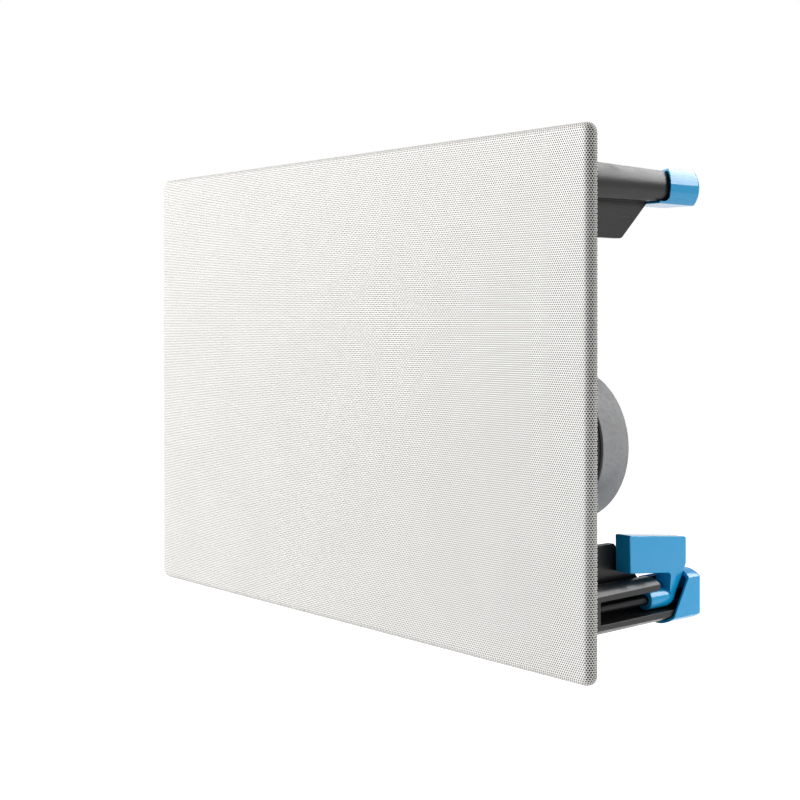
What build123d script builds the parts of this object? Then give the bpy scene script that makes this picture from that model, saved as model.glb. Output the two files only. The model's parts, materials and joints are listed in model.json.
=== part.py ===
from build123d import *
import math
import os

# In-wall speaker. Millimetres: X runs right, Y into the wall, Z up.
# The origin is the panel's centre, on the wall's face.

# Clearances
free_gap = 0.3
edge_gap = 0.4
slip_gap = 0.1
running_gap = 0.08
glue_gap = 0.05

# Overshoot of the shapes that cut
over = 1.0

# Grille
panel_width = 311.0
panel_height = 216.0
grille_depth = 4.5
grille_sheet = 0.8
grille_bend_radius = 3.6
grille_corner_radius = 5.0
scrim_thickness = 0.3

# Frame
flange_edge_radius = 2.4
skirt_inset = 12.5
skirt_wall = 2.5
skirt_depth = 12.0
skirt_corner_radius = 8.0
baffle_recess = 8.0
baffle_thickness = 3.5
rib_thickness = 2.5
rib_height = 6.5
rib_woofer_gap = 8.0
ring_rib_width = 5.2
ring_rib_height = 3.5

# Magnets that hold the grille
holding_magnet_radius = 4.0
holding_magnet_thickness = 2.0
holding_magnet_inset = 6.5
holding_magnet_columns = (-0.4, 0.0, 0.4)
holding_magnet_rows = (-0.3, 0.3)

# Clamp towers
tower_slot_inset = 7.5
tower_side_inset = 11.3
tower_length = 64.5
tower_base_radius = 9.9
tower_end_radius = 9.4
tower_base_flat = 7.4
tower_end_flat = 5.9
tower_floor = 4.5
groove_half_width = 4.65
park_wall_length = 42.4

# Gusset fins
fin_thickness = 3.0
fin_reach = 22.5
fin_corner_radius = 3.0
fin_outer_length = 26.5
fin_root_length = 44.0
back_fin_offset = -1.3
park_fin_offset = -6.5
park_fin_reach = 24.2
park_fin_root_length = 42.0
park_fin_root_height = 8.0

# Dog-leg clamp, parked
dogleg_width = 8.0
hub_radius = 4.2
hub_length = 22.85
clamp_rear_inset = 2.0
arm_thickness = 10.65
foot_tip_radius = 28.5
foot_rear_radius = 24.6
foot_inner_radius = 12.9
notch_radius = 10.4
foot_length = 36.5
foot_front_lean = 0.5
dogleg_corner_radius = 0.8

# End cap
cap_wall = 1.2
cap_flat_wall = 1.0
cap_back = 4.2
cap_length = 24.4
cap_edge_radius = 2.2
cam_drop = 7.6
cam_slope = 0.6
cam_seat_gap = 0.4
cam_corner_radius = 2.4

# Clamp screw
screw_radius = 2.0
screw_head_radius = 4.0
screw_head_height = 2.8
screw_tip_depth = 1.3
recess_width = 1.0
recess_reach_share = 0.55
recess_depth_share = 0.57
head_edge_share = 0.33

# Woofers
woofer_side_margin = 4.0
woofer_middle_margin = 15.0
woofer_low_margin = 9.7
woofer_top_room = 57.3
basket_flange = 3.5
basket_rim_width = 8.2
basket_throat_depth = 4.0
basket_wall = 2.0
basket_depth = 43.4
basket_rear_radius = 33.4
basket_rear_hole_radius = 20.0
basket_rear_plate = 1.8
shelf_inner_radius = 32.0
shelf_outer_radius = 37.0
shelf_height = 9.9
shelf_thickness = 1.6
leg_count = 8
leg_angle = 16.0
window_margin = 3.0
top_plate_thickness = 5.0
magnet_radius = 34.7
magnet_hole_radius = 16.0
magnet_thickness = 17.0
yoke_radius = 30.0
yoke_thickness = 5.0
yoke_edge = 1.5
pole_radius = 12.2
pole_vent_radius = 4.0
coil_inner_gap = 0.4
coil_outer_gap = 0.5
former_wall = 0.3
winding_wall = 1.1
winding_height = 10.0
former_front_overlap = 1.0
cone_lip_width = 2.4
cone_lip_thickness = 0.7
cone_depth = 26.7
cone_wall = 1.0
cone_neck_height = 3.5
dust_cap_radius = 19.5
dust_cap_height = 7.5
dust_cap_wall = 0.6
surround_width = 8.4
surround_wall = 0.6
surround_lip_width = 2.6
spider_wall = 0.6
spider_wave = 1.2
spider_waves = 8
woofer_screw_inset = 2.7
woofer_screw_count = 4
lug_width = 4.8
lug_sheet = 0.8
lug_foot = 3.6
lug_height = 7.4
lug_radius = 36.0
lug_spread = 8.0
lug_turn = 30.0

# Tweeter
tweeter_drop = 49.5
faceplate_radius = 37.0
faceplate_thickness = 3.0
faceplate_edge = 0.6
horn_mouth_radius = 25.0
horn_throat_radius = 15.2
horn_throat_depth = 1.1
dome_radius = 12.6
dome_height = 4.8
dome_wall = 0.4
dome_roll_width = 2.2
dome_roll_height = 1.2
dome_rim_width = 3.2
tweeter_plate_radius = 27.0
tweeter_plate_thickness = 4.0
tweeter_magnet_radius = 22.5
tweeter_magnet_hole_radius = 15.0
tweeter_magnet_thickness = 8.0
tweeter_yoke_thickness = 4.0
tweeter_pole_radius = 11.9
tweeter_coil_wall = 0.5
tweeter_coil_height = 5.0
chamber_radius = 21.0
chamber_depth = 16.0
chamber_wall = 1.5
tweeter_screw_circle = 33.0
tweeter_lug_height = 7.6
tweeter_lug_width = 4.0
tweeter_lugs = {"red": (-23.4, 8.0), "black": (-20.4, 14.0)}

# Wood screws
wood_screw_radius = 1.4
wood_screw_head_radius = 2.5
wood_screw_head_height = 1.8
wood_screw_length = 9.5

# Crossover board
board_side_inset = 69.0
board_drop = 29.5
board_width = 64.0
board_height = 40.0
board_thickness = 1.6
standoff_radius = 3.2
standoff_height = 5.0
board_hole_inset = 3.5
board_screw_radius = 1.2
board_screw_length = 5.5
inductor_edge_share = 0.25
capacitor_edge_share = 0.17
inductor_large_place = (-17.5, 5.5)
inductor_large_radius = 12.5
inductor_large_hole = 5.0
inductor_large_height = 14.0
inductor_small_place = (14.0, 11.0)
inductor_small_radius = 8.0
inductor_small_hole = 3.0
inductor_small_height = 10.0
capacitor_large_place = (10.0, -4.5)
capacitor_large_radius = 5.5
capacitor_large_length = 24.0
capacitor_small_place = (-0.5, 10.0)
capacitor_small_radius = 4.0
capacitor_small_length = 14.0
resistor_place = (-14.0, -13.5)
resistor_size = (20.0, 8.0, 8.0)

# Push terminals
terminal_side_inset = 69.0
terminal_drop = 29.5
terminal_width = 48.0
terminal_height = 26.0
terminal_depth = 14.0
terminal_spacing = 24.0
terminal_floor = 4.0
terminal_edge_radius = 1.0
button_width = 7.8
button_height = 9.8
button_rise = 5.0
button_length = 10.0
button_proud = 4.0
wire_hole_radius = 1.5
wire_hole_depth = 8.0
wire_hole_drop = 8.0
spring_sheet = 0.4
spring_width = 5.0
spring_reach = 3.4

# Hook-up wires: pads from the board's middle, heights from the board's back
wire_radius = 0.9
wire_bend_share = 0.45
wire_pads = {
    "red": {"input": (27.0, 8.0), "tweeter": (27.0, -12.0), "left": (-2.0, -16.0), "right": (12.0, -16.0)},
    "black": {"input": (27.0, 4.0), "tweeter": (27.0, -6.0), "left": (4.0, -16.0), "right": (18.0, -16.0)},
}
wire_exits = {"red": 4.0, "black": -2.0}
wire_exit_height = 0.4
wire_exit_run = 12.0
wire_climb_run = 10.0
wire_low_height = 4.4
wire_lane_rise = 4.0
wire_lane_end = 13.0
wire_tweeter_run = 9.0
wire_tweeter_fall = (6.0, 5.5)
wire_high_height = 8.0
wire_left_via = (11.0, 18.0, -12.0)
wire_right_vias = {
    "red": [(-41.0, 14.0, 23.0), (-19.0, 18.0, 9.0), (19.0, 20.0, 9.0), (30.0, 24.5, 20.0)],
    "black": [(-35.0, 14.0, 28.0), (-19.0, 18.0, 14.0), (19.0, 20.0, 14.0), (36.0, 24.5, 34.0)],
}
wire_lug_leads = {"left": 14.0, "right": 23.0}
wire_lug_share = 0.6

# Levels along Y, from the front
grille_back = -free_gap
grille_front = grille_back - grille_depth
scrim_front = grille_front + grille_sheet
scrim_back = scrim_front + scrim_thickness
flange_front = scrim_back + free_gap
baffle_front = baffle_recess
baffle_back = baffle_front + baffle_thickness
tower_end = baffle_back + tower_length
clamp_rear = tower_end - clamp_rear_inset
arm_front = clamp_rear - arm_thickness
cam_level = clamp_rear - cam_drop
basket_front = baffle_front - basket_flange
basket_back = basket_front + basket_depth
shelf_front = basket_back - shelf_height
shelf_back = shelf_front + shelf_thickness
top_plate_back = basket_back + top_plate_thickness
magnet_back = top_plate_back + magnet_thickness
yoke_back = magnet_back + yoke_thickness
cone_front = basket_front + free_gap
neck_front = cone_front + cone_depth
neck_back = neck_front + cone_neck_height
faceplate_front = baffle_front - faceplate_thickness
tweeter_plate_front = baffle_front + dome_wall
tweeter_plate_back = tweeter_plate_front + tweeter_plate_thickness
tweeter_magnet_back = tweeter_plate_back + tweeter_magnet_thickness
tweeter_yoke_back = tweeter_magnet_back + tweeter_yoke_thickness
board_front = baffle_back + standoff_height
board_back = board_front + board_thickness
terminal_back = baffle_back + terminal_depth
well_floor = baffle_back + terminal_floor
button_back = terminal_back + button_proud
button_front = button_back - button_length

# Sizes that follow from the ones above
skirt_width = panel_width - 2 * skirt_inset
skirt_height = panel_height - 2 * skirt_inset
woofer_room_x = skirt_width / 2 - woofer_side_margin - woofer_middle_margin
woofer_room_z = skirt_height - woofer_low_margin - woofer_top_room
basket_radius = min(woofer_room_x, woofer_room_z) / 2
basket_mouth_radius = basket_radius - basket_rim_width
woofer_screw_circle = basket_radius - woofer_screw_inset
cone_lip_outer_radius = basket_mouth_radius - surround_width
cone_lip_inner_radius = cone_lip_outer_radius - cone_lip_width
woofer_x = woofer_middle_margin + woofer_room_x / 2
woofer_z = woofer_low_margin + basket_radius - skirt_height / 2
tweeter_z = skirt_height / 2 - tweeter_drop
board_x = board_side_inset - skirt_width / 2
board_z = skirt_height / 2 - board_drop
terminal_x = skirt_width / 2 - terminal_side_inset
terminal_z = skirt_height / 2 - terminal_drop
flange_width = panel_width - 2 * (grille_sheet + edge_gap)
flange_height = panel_height - 2 * (grille_sheet + edge_gap)
former_inner_radius = pole_radius + coil_inner_gap
former_outer_radius = former_inner_radius + former_wall
winding_radius = former_inner_radius + winding_wall
top_plate_hole_radius = winding_radius + coil_outer_gap
neck_radius = former_outer_radius + glue_gap
throat_radius = basket_mouth_radius + basket_wall
woofer_hole_radius = throat_radius + edge_gap
tweeter_hole_radius = tweeter_plate_radius + 2 * edge_gap
pilot_radius = wood_screw_radius + slip_gap
board_pilot_radius = board_screw_radius + slip_gap
cap_rear = tower_end + slip_gap + cap_back
cap_front = cap_rear - cap_length
tower_draft = (tower_base_radius - tower_end_radius) / (tower_end - baffle_front)
cap_inner_radius = tower_base_radius - tower_draft * (cap_front - baffle_front) + slip_gap
flat_draft = (tower_base_flat - tower_end_flat) / (tower_end - baffle_front)
cap_inner_flat = tower_base_flat - flat_draft * (cap_front - baffle_front) + slip_gap
slot_axis_x = skirt_width / 2 - tower_slot_inset
slot_axis_z = skirt_height / 2 - tower_slot_inset
side_axis_x = skirt_width / 2 - tower_side_inset
side_axis_z = skirt_height / 2 - tower_side_inset
corners = {
    "lower_right": (slot_axis_x, -side_axis_z),
    "upper_right": (side_axis_x, slot_axis_z),
    "upper_left": (-slot_axis_x, side_axis_z),
    "lower_left": (-side_axis_x, -slot_axis_z),
}
corner_turn = {"lower_right": 0, "upper_right": -90, "upper_left": 180, "lower_left": 90}
woofers = {"right": 1, "left": -1}
far = 2 * panel_width


def box(x_span, y_span, z_span):
    """Block between three pairs of limits."""
    sizes = [high - low for low, high in (x_span, y_span, z_span)]
    middles = [(high + low) / 2 for low, high in (x_span, y_span, z_span)]
    return Pos(*middles) * Box(*sizes)


def rod(radius, y_span, x=0, z=0):
    """Cylinder along Y."""
    low, high = y_span
    return Pos(x, (low + high) / 2, z) * Rot(90, 0, 0) * Cylinder(radius, high - low)


def ring(hole_radius, radius, y_span, x=0, z=0):
    """Tube along Y."""
    low, high = y_span
    return rod(radius, y_span, x, z) - rod(hole_radius, (low - over, high + over), x, z)


def turned(outline, x=0, z=0):
    """Solid turned about a line along Y, from an outline of (radius, y) edges or points."""
    if isinstance(outline[0], tuple):
        outline = Polyline(*outline, close=True).edges()
    return Pos(x, 0, z) * revolve(make_face(outline), Axis.Y)


def panel(width, height, radius, y_span):
    """Upright plate with rounded corners."""
    low, high = y_span
    face = Plane.XZ * RectangleRounded(width, height, radius)
    return Pos(0, high, 0) * extrude(face, high - low)


def side_prism(points, x_span):
    """Prism along X from an outline of (y, z) points."""
    low, high = x_span
    face = Plane.YZ * make_face(Polyline(*points, close=True))
    return Pos(low, 0, 0) * extrude(face, high - low)


def upright_prism(points, z_span):
    """Prism along Z from an outline of (x, y) points."""
    low, high = z_span
    return Pos(0, 0, low) * extrude(make_face(Polyline(*points, close=True)), high - low)


def circle_places(radius, count, x, z):
    """Evenly spaced places round a driver, the first at 45 degrees."""
    for index in range(count):
        angle = math.radians(45 + 360 * index / count)
        yield x + radius * math.cos(angle), z + radius * math.sin(angle)


def at_corner(name, shape):
    """Moves a clamp piece from its own axis to a corner of the frame."""
    x, z = corners[name]
    return Pos(x, 0, z) * Rot(0, corner_turn[name], 0) * shape


def make_grille():
    outer = panel(panel_width, panel_height, grille_corner_radius, (grille_front, grille_back))
    outer = fillet(outer.edges().group_by(Axis.Y)[0], grille_bend_radius)
    inner_width = panel_width - 2 * grille_sheet
    inner_height = panel_height - 2 * grille_sheet
    inner_radius = grille_corner_radius - grille_sheet
    inner = panel(inner_width, inner_height, inner_radius, (scrim_front, grille_back + over))
    inner = fillet(inner.edges().group_by(Axis.Y)[0], grille_bend_radius - grille_sheet)
    return outer - inner


def make_scrim():
    inset = 2 * (grille_sheet + grille_bend_radius)
    return panel(
        panel_width - inset,
        panel_height - inset,
        grille_corner_radius - grille_sheet,
        (scrim_front, scrim_back),
    )


def holding_magnet_places():
    """Along the flange's four sides, clear of its corners."""
    edge_x = flange_width / 2 - holding_magnet_inset
    edge_z = flange_height / 2 - holding_magnet_inset
    for share in holding_magnet_columns:
        yield share * panel_width, edge_z
        yield share * panel_width, -edge_z
    for share in holding_magnet_rows:
        yield edge_x, share * panel_height
        yield -edge_x, share * panel_height


def make_holding_magnets():
    span = (flange_front, flange_front + holding_magnet_thickness)
    return Compound(
        children=[rod(holding_magnet_radius, span, x, z).solid() for x, z in holding_magnet_places()]
    )


def make_tower():
    """Channel with a round back, open along one side for the dog-leg, with a screw hole in its floor."""
    core = turned(
        [
            (0, baffle_front),
            (tower_base_radius, baffle_front),
            (tower_end_radius, tower_end),
            (0, tower_end),
        ]
    )
    flats = upright_prism(
        [
            (-tower_base_flat, baffle_front),
            (tower_base_flat, baffle_front),
            (tower_end_flat, tower_end),
            (-tower_end_flat, tower_end),
        ],
        (-far, far),
    )
    groove_span = (baffle_back + tower_floor, tower_end + over)
    groove = rod(groove_half_width, groove_span)
    groove += box((0, far), groove_span, (-groove_half_width, groove_half_width))
    swing_span = (baffle_back + park_wall_length, tower_end + over)
    swing = box((-groove_half_width, far), swing_span, (-groove_half_width, far))
    return (core & flats) - groove - swing


def make_back_fin():
    """Gusset on the tower's closed side, with a slanted rear edge."""
    outer_end = baffle_back + fin_outer_length
    root_end = baffle_back + fin_root_length
    middle = back_fin_offset
    root = -tower_end_flat
    points = [
        (root + over, baffle_front),
        (root + over, root_end),
        (root, root_end),
        (-fin_reach, outer_end),
        (-fin_reach, baffle_front),
    ]
    half = fin_thickness / 2
    fin = upright_prism(points, (middle - half, middle + half))
    corner = fin.edges().filter_by(Axis.Z).sort_by_distance((-fin_reach, outer_end, middle))[0]
    return fillet(corner, fin_corner_radius)


def make_park_fin():
    """Gusset beside the parked dog-leg, in line with the tower's back wall."""
    outer_end = baffle_back + fin_outer_length
    root_end = baffle_back + park_fin_root_length
    points = [
        (baffle_front, 0),
        (root_end, 0),
        (root_end, park_fin_root_height),
        (outer_end, park_fin_reach),
        (baffle_front, park_fin_reach),
    ]
    half = fin_thickness / 2
    return side_prism(points, (park_fin_offset - half, park_fin_offset + half))


def board_screw_places():
    for x_side in (-1, 1):
        for z_side in (-1, 1):
            x = board_x + x_side * (board_width / 2 - board_hole_inset)
            yield x, board_z + z_side * (board_height / 2 - board_hole_inset)


def wood_screw_places():
    """Each screw's place, with the face that its head rests on."""
    for side in woofers.values():
        circle = circle_places(woofer_screw_circle, woofer_screw_count, side * woofer_x, woofer_z)
        for x, z in circle:
            yield x, z, basket_front
    for x, z in circle_places(tweeter_screw_circle, woofer_screw_count, 0, tweeter_z):
        yield x, z, faceplate_front


def make_frame():
    inner_width = skirt_width - 2 * skirt_wall
    inner_height = skirt_height - 2 * skirt_wall
    inner_radius = skirt_corner_radius - skirt_wall
    flange_radius = grille_corner_radius - grille_sheet - edge_gap
    frame = panel(flange_width, flange_height, flange_radius, (flange_front, 0))
    frame = fillet(frame.edges().group_by(Axis.Y)[0], flange_edge_radius)
    frame += panel(skirt_width, skirt_height, skirt_corner_radius, (flange_front, skirt_depth))
    frame -= panel(inner_width, inner_height, inner_radius, (flange_front - over, baffle_front))
    frame -= panel(inner_width, inner_height, inner_radius, (baffle_back, skirt_depth + over))
    rib_top = tweeter_z - tweeter_hole_radius - rib_woofer_gap
    rib_span = (baffle_front, baffle_back + rib_height)
    frame += box((-rib_thickness / 2, rib_thickness / 2), rib_span, (-inner_height / 2 - over, rib_top))
    ring_span = (baffle_front, baffle_back + ring_rib_height)
    for side in woofers.values():
        frame += rod(woofer_hole_radius + ring_rib_width, ring_span, side * woofer_x, woofer_z)
    for x, z in board_screw_places():
        frame += rod(standoff_radius, (baffle_front, board_front), x, z)
    for name in corners:
        frame += at_corner(name, make_back_fin())
        frame += at_corner(name, make_park_fin())
        frame += at_corner(name, make_tower())
    for side in woofers.values():
        frame -= rod(woofer_hole_radius, (-far, far), side * woofer_x, woofer_z)
    frame -= rod(tweeter_hole_radius, (-far, far), 0, tweeter_z)
    for x, z in holding_magnet_places():
        pocket = (flange_front - over, flange_front + holding_magnet_thickness)
        frame -= rod(holding_magnet_radius + slip_gap, pocket, x, z)
    for x, z, _ in wood_screw_places():
        frame -= rod(pilot_radius, (baffle_front - over, baffle_back + ring_rib_height + over), x, z)
    for x, z in board_screw_places():
        frame -= rod(board_pilot_radius, (baffle_back - over, board_front + over), x, z)
    for name in corners:
        hole_span = (baffle_front - over, baffle_back + tower_floor + over)
        frame -= at_corner(name, rod(screw_radius + running_gap, hole_span))
    return frame


def cam_side(level, end):
    """Outline of all that lies on one side of the cam's slanted plane, as far as a level along Y."""
    reach = 2 * tower_base_radius
    low, high = level - cam_slope * reach, level + cam_slope * reach
    return [(low, -reach), (high, reach), (end, reach), (end, -reach)]


def make_dogleg():
    """Hub on the screw, arm that rests on the cam, foot turned forward beside the tower."""
    half = dogleg_width / 2
    foot_front = clamp_rear - foot_length
    seat_level = cam_level - cam_seat_gap
    points = [
        (arm_front, 0),
        (arm_front, notch_radius),
        (foot_front + foot_front_lean, foot_inner_radius),
        (foot_front, foot_tip_radius),
        (clamp_rear, foot_rear_radius),
        (clamp_rear, (clamp_rear - seat_level) / cam_slope),
        (seat_level, 0),
    ]
    arm = side_prism(points, (-half, half))
    upper = arm.edges().filter_by(Axis.X).group_by(Axis.Z)[1:]
    arm = fillet([edge for group in upper for edge in group], dogleg_corner_radius)
    hub = rod(hub_radius, (clamp_rear - hub_length, clamp_rear))
    hub -= side_prism(cam_side(seat_level, far), (-far, far))
    bore = rod(screw_radius + running_gap, (-far, far))
    return arm + hub - bore


def make_cap():
    """Sleeve with a closed back over the tower's end; its slanted edge is the dog-leg's cam."""
    pocket_end = cap_rear - cap_back
    outer = rod(cap_inner_radius + cap_wall, (cap_front, cap_rear))
    flat = cap_inner_flat + cap_flat_wall
    outer &= box((-flat, flat), (cap_front, cap_rear), (-far, far))
    outer = fillet(outer.edges().group_by(Axis.Y)[-1], cap_edge_radius)
    pocket = rod(cap_inner_radius, (cap_front - over, pocket_end))
    pocket &= box((-cap_inner_flat, cap_inner_flat), (cap_front - over, pocket_end), (-far, far))
    cam_cut = side_prism(cam_side(cam_level, -far), (-cap_inner_flat, far))
    corner = cam_cut.edges().group_by(Axis.X)[0].sort_by(Axis.Y)[-1]
    cam_cut = fillet(corner, cam_corner_radius)
    tip_hole = rod(screw_radius + running_gap, (pocket_end - over, pocket_end + screw_tip_depth + slip_gap))
    return outer - pocket - cam_cut - tip_hole


def pan_head(radius, height):
    """Screw head on the plane Y = 0 with its cross recess towards -Y."""
    head = rod(radius, (-height, 0))
    head = fillet(head.edges().group_by(Axis.Y)[0], head_edge_share * height)
    reach = recess_reach_share * radius
    half = recess_width / 2
    deep = (-height - over, -height + recess_depth_share * height)
    head -= box((-reach, reach), deep, (-half, half))
    return head - box((-half, half), deep, (-reach, reach))


def make_clamp_screw():
    head_back = baffle_front - slip_gap
    tip = tower_end + slip_gap + screw_tip_depth
    head = Pos(0, head_back, 0) * pan_head(screw_head_radius, screw_head_height)
    return head + rod(screw_radius, (head_back, tip))


def make_wood_screws(face_wanted):
    """Pan-head screws whose heads rest on one face."""
    screws = []
    for x, z, face in wood_screw_places():
        if face == face_wanted:
            head = Pos(x, face, z) * pan_head(wood_screw_head_radius, wood_screw_head_height)
            shank = rod(wood_screw_radius, (face, face + wood_screw_length), x, z)
            screws.append((head + shank).solid())
    return Compound(children=screws)


def make_basket(x):
    throat = basket_front + basket_flange + basket_throat_depth
    outline = [
        (basket_radius, basket_front),
        (basket_radius, baffle_front),
        (throat_radius, baffle_front),
        (throat_radius, throat + basket_wall / 2),
        (shelf_outer_radius + basket_wall, shelf_back),
        (basket_rear_radius, shelf_back),
        (basket_rear_radius, basket_back),
        (basket_rear_hole_radius, basket_back),
        (basket_rear_hole_radius, basket_back - basket_rear_plate),
        (shelf_inner_radius, basket_back - basket_rear_plate),
        (shelf_inner_radius, shelf_front),
        (shelf_outer_radius, shelf_front),
        (basket_mouth_radius, throat),
        (basket_mouth_radius, basket_front),
    ]
    basket = turned(outline)
    window = make_face(
        Polyline(
            (shelf_inner_radius, throat + window_margin),
            (basket_radius, throat + window_margin),
            (basket_radius, shelf_front - window_margin),
            (shelf_inner_radius, shelf_front - window_margin),
            close=True,
        )
    )
    step = 360 / leg_count
    cutter = revolve(window, Axis.Y, step - leg_angle)
    for index in range(leg_count):
        basket -= Rot(0, index * step + leg_angle / 2, 0) * cutter
    hole_span = (basket_front - over, baffle_front + over)
    for hole_x, hole_z in circle_places(woofer_screw_circle, woofer_screw_count, 0, 0):
        basket -= rod(wood_screw_radius + free_gap, hole_span, hole_x, hole_z)
    return Pos(x, 0, woofer_z) * basket


def make_yoke(x):
    outline = [
        (pole_vent_radius, basket_back),
        (pole_radius, basket_back),
        (pole_radius, magnet_back),
        (yoke_radius, magnet_back),
        (yoke_radius, yoke_back - yoke_edge),
        (yoke_radius - yoke_edge, yoke_back),
        (pole_vent_radius, yoke_back),
    ]
    return turned(outline, x, woofer_z)


def make_voice_coil(x):
    middle = (basket_back + top_plate_back) / 2
    winding_front = middle - winding_height / 2
    winding_back = middle + winding_height / 2
    outline = [
        (former_inner_radius, neck_front - former_front_overlap),
        (former_outer_radius, neck_front - former_front_overlap),
        (former_outer_radius, winding_front),
        (winding_radius, winding_front),
        (winding_radius, winding_back),
        (former_inner_radius, winding_back),
    ]
    return turned(outline, x, woofer_z)


def cone_face_y(radius):
    """The cone's front face at a radius."""
    run = cone_lip_inner_radius - neck_radius
    return neck_front - cone_depth * (radius - neck_radius) / run


def make_cone(x):
    back_step = cone_wall * math.hypot(1, cone_depth / (cone_lip_inner_radius - neck_radius))
    lip_back = cone_front + cone_lip_thickness
    outline = [
        (neck_radius, neck_front),
        (cone_lip_inner_radius, cone_front),
        (cone_lip_outer_radius, cone_front),
        (cone_lip_outer_radius, lip_back),
        (cone_lip_inner_radius + cone_wall / 2, lip_back),
        (neck_radius + cone_wall, cone_face_y(neck_radius + cone_wall) + back_step),
        (neck_radius + cone_wall, neck_back),
        (neck_radius, neck_back),
    ]
    return turned(outline, x, woofer_z)


def dome_arc(base_radius, base_y, height):
    """Half section of a spherical dome, from its apex on the axis to its rim."""
    sphere = (base_radius**2 + height**2) / (2 * height)
    half_angle = math.asin(base_radius / sphere) / 2
    middle_y = base_y - height + sphere * (1 - math.cos(half_angle))
    return ThreePointArc(
        (0, base_y - height), (sphere * math.sin(half_angle), middle_y), (base_radius, base_y)
    )


def make_dust_cap(x):
    base = cone_face_y(dust_cap_radius) - free_gap
    outer = dome_arc(dust_cap_radius, base, dust_cap_height)
    inner = dome_arc(dust_cap_radius - dust_cap_wall, base, dust_cap_height - dust_cap_wall)
    rim = Line(outer @ 1, inner @ 1)
    axis = Line(inner @ 0, outer @ 0)
    return turned([outer.edge(), rim.edge(), inner.edge(), axis.edge()], x, woofer_z)


def make_surround(x):
    """Half roll between the cone's lip and the basket's rim."""
    back = basket_front
    front = back - surround_wall
    roll = (basket_mouth_radius - cone_lip_outer_radius) / 2
    middle = (basket_mouth_radius + cone_lip_outer_radius) / 2
    crest = ThreePointArc(
        (cone_lip_outer_radius, front), (middle, front - roll), (basket_mouth_radius, front)
    )
    trough = ThreePointArc(
        (basket_mouth_radius - surround_wall, back),
        (middle, front - roll + surround_wall),
        (cone_lip_outer_radius + surround_wall, back),
    )
    rim_radius = basket_mouth_radius + surround_lip_width
    rim = Polyline(crest @ 1, (rim_radius, front), (rim_radius, back), trough @ 0)
    lip = Polyline(
        trough @ 1, (cone_lip_inner_radius, back), (cone_lip_inner_radius, front), crest @ 0
    )
    return turned([crest.edge(), *rim.edges(), trough.edge(), *lip.edges()], x, woofer_z)


def make_spider(x):
    """Corrugated disc that centres the coil, glued to the basket's shelf."""
    inner = former_outer_radius + free_gap
    outer = shelf_outer_radius - slip_gap
    front = [(outer, shelf_front - spider_wall)]
    steps = 2 * spider_waves
    for index in range(steps + 1):
        radius = shelf_inner_radius + (inner - shelf_inner_radius) * index / steps
        front.append((radius, shelf_front - spider_wall - spider_wave * (index % 2)))
    back = [(radius, y + spider_wall) for radius, y in reversed(front)]
    return turned(front + back, x, woofer_z)


def lug_angles(side):
    """The two terminals of a woofer, on the side towards the tweeter."""
    middle = 90 + side * lug_turn
    return {"red": middle + lug_spread, "black": middle - lug_spread}


def make_woofer_lugs(side):
    lugs = []
    half = lug_width / 2
    foot = (lug_radius - lug_foot / 2, lug_radius + lug_foot / 2)
    blade = (lug_radius - lug_sheet / 2, lug_radius + lug_sheet / 2)
    for angle in lug_angles(side).values():
        lug = box(foot, (shelf_back, shelf_back + lug_sheet), (-half, half))
        lug += box(blade, (shelf_back, shelf_back + lug_height), (-half, half))
        lugs.append((Pos(side * woofer_x, 0, woofer_z) * Rot(0, -angle, 0) * lug).solid())
    return Compound(children=lugs)


def make_faceplate():
    outline = [
        (faceplate_radius, baffle_front),
        (faceplate_radius, faceplate_front + faceplate_edge),
        (faceplate_radius - faceplate_edge, faceplate_front),
        (horn_mouth_radius, faceplate_front),
        (horn_throat_radius, baffle_front - horn_throat_depth),
        (horn_throat_radius, baffle_front),
    ]
    faceplate = turned(outline, 0, tweeter_z)
    for x, z in circle_places(tweeter_screw_circle, woofer_screw_count, 0, tweeter_z):
        hole_span = (faceplate_front - over, baffle_front + over)
        faceplate -= rod(wood_screw_radius + free_gap, hole_span, x, z)
    return faceplate


def make_dome():
    """Soft dome, its small roll and the rim that is clamped behind the faceplate."""
    rim_front = baffle_front
    rim_back = baffle_front + dome_wall
    roll_outer = dome_radius + dome_roll_width
    roll_middle = dome_radius + dome_roll_width / 2
    rim_radius = roll_outer + dome_rim_width
    dome_front = dome_arc(dome_radius, rim_front, dome_height)
    roll_front = ThreePointArc(
        dome_front @ 1, (roll_middle, rim_front - dome_roll_height), (roll_outer, rim_front)
    )
    rim = Polyline(
        roll_front @ 1, (rim_radius, rim_front), (rim_radius, rim_back), (roll_outer - dome_wall, rim_back)
    )
    roll_back = ThreePointArc(
        rim @ 1, (roll_middle, rim_back - dome_roll_height), (dome_radius + dome_wall / 2, rim_back)
    )
    dome_back = dome_arc(dome_radius - dome_wall, rim_back, dome_height)
    foot = Line(roll_back @ 1, dome_back @ 1)
    axis = Line(dome_back @ 0, dome_front @ 0)
    curves = [dome_front, roll_front, rim, roll_back, foot, dome_back, axis]
    return turned([edge for curve in curves for edge in curve.edges()], 0, tweeter_z)


def tweeter_coil_radii():
    inner = tweeter_pole_radius + coil_inner_gap
    return inner, inner + tweeter_coil_wall


def make_tweeter_coil():
    front = baffle_front + dome_wall
    inner, outer = tweeter_coil_radii()
    return ring(inner, outer, (front, front + tweeter_coil_height), 0, tweeter_z)


def make_tweeter_yoke():
    outline = [
        (0, tweeter_plate_front + free_gap),
        (tweeter_pole_radius, tweeter_plate_front + free_gap),
        (tweeter_pole_radius, tweeter_magnet_back),
        (tweeter_magnet_radius, tweeter_magnet_back),
        (tweeter_magnet_radius, tweeter_yoke_back),
        (0, tweeter_yoke_back),
    ]
    return turned(outline, 0, tweeter_z)


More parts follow.
